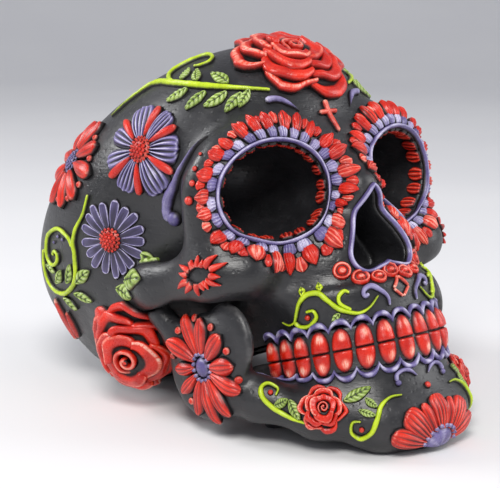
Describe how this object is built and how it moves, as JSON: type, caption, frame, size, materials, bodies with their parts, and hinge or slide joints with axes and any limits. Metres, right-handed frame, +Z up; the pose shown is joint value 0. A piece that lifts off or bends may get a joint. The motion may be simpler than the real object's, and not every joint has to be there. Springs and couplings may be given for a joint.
{
  "type": "sugar skull decoration",
  "caption": "Table-top sugar skull with clenched teeth, open eye sockets and nose, seated flower, rose, vine and lace relief, hollow braincase and flat resting faces.",
  "frame": {"origin": "on the floor under the middle of the skull's bounding box", "axes": "+Z up, the face looks along -Y, the skull's right side is at -X"},
  "size_m": [0.1262, 0.2042, 0.1382],
  "materials": {
    "bone_black": "satin black paint with soft grey dry-brush",
    "paint_red": "satin red paint, pale dry-brush on raised edges, black wash in recesses",
    "paint_lavender": "satin lavender paint",
    "paint_lime": "satin lime paint"
  },
  "bodies": {
    "root": {"cranium": "bone_black", "mandible": "bone_black", "upper_teeth": "paint_red", "lower_teeth": "paint_red", "upper_gum_piping": "paint_lavender", "lower_gum_piping": "paint_lavender", "right_socket_rim": "paint_lavender", "left_socket_rim": "paint_lavender", "right_socket_scallops": "paint_lavender", "left_socket_scallops": "paint_lavender", "right_socket_petals": "paint_red", "left_socket_petals": "paint_red", "right_striped_daisy": "paint_lavender", "left_striped_daisy": "paint_lavender", "right_striped_daisy_centre": "paint_red", "left_striped_daisy_centre": "paint_red", "right_lavender_daisy": "paint_lavender", "left_lavender_daisy": "paint_lavender", "right_lavender_daisy_centre": "paint_red", "left_lavender_daisy_centre": "paint_red", "right_side_flower": "paint_red", "left_side_flower": "paint_red", "right_side_flower_centre": "paint_lavender", "left_side_flower_centre": "paint_lavender", "right_ramus_flower": "paint_red", "left_ramus_flower": "paint_red", "right_ramus_flower_centre": "paint_lavender", "left_ramus_flower_centre": "paint_lavender", "crown_rose": "paint_red", "right_rear_rose": "paint_red", "left_rear_rose": "paint_red", "right_crown_vine": "paint_lime", "left_crown_vine": "paint_lime", "right_side_vine": "paint_lime", "left_side_vine": "paint_lime", "right_temple_stroke": "paint_lavender", "left_temple_stroke": "paint_lavender", "right_forehead_stroke": "paint_lavender", "left_forehead_stroke": "paint_lavender", "right_lip_scroll": "paint_lime", "left_lip_scroll": "paint_lime", "right_lip_curl": "paint_lavender", "left_lip_curl": "paint_lavender", "right_jaw_vine": "paint_lime", "left_jaw_vine": "paint_lime", "right_chin_vine": "paint_lime", "left_chin_vine": "paint_lime", "right_chin_curl": "paint_lavender", "left_chin_curl": "paint_lavender", "right_jaw_rose": "paint_red", "left_jaw_rose": "paint_red", "right_cheek_sunburst": "paint_red", "left_cheek_sunburst": "paint_red", "forehead_cross": "paint_red", "nose_rim": "paint_lavender", "nose_lace": "paint_red", "lip_diamond": "paint_red", "chin_flower": "paint_red", "chin_flower_centre": "paint_lavender"}
  },
  "joints": []
}
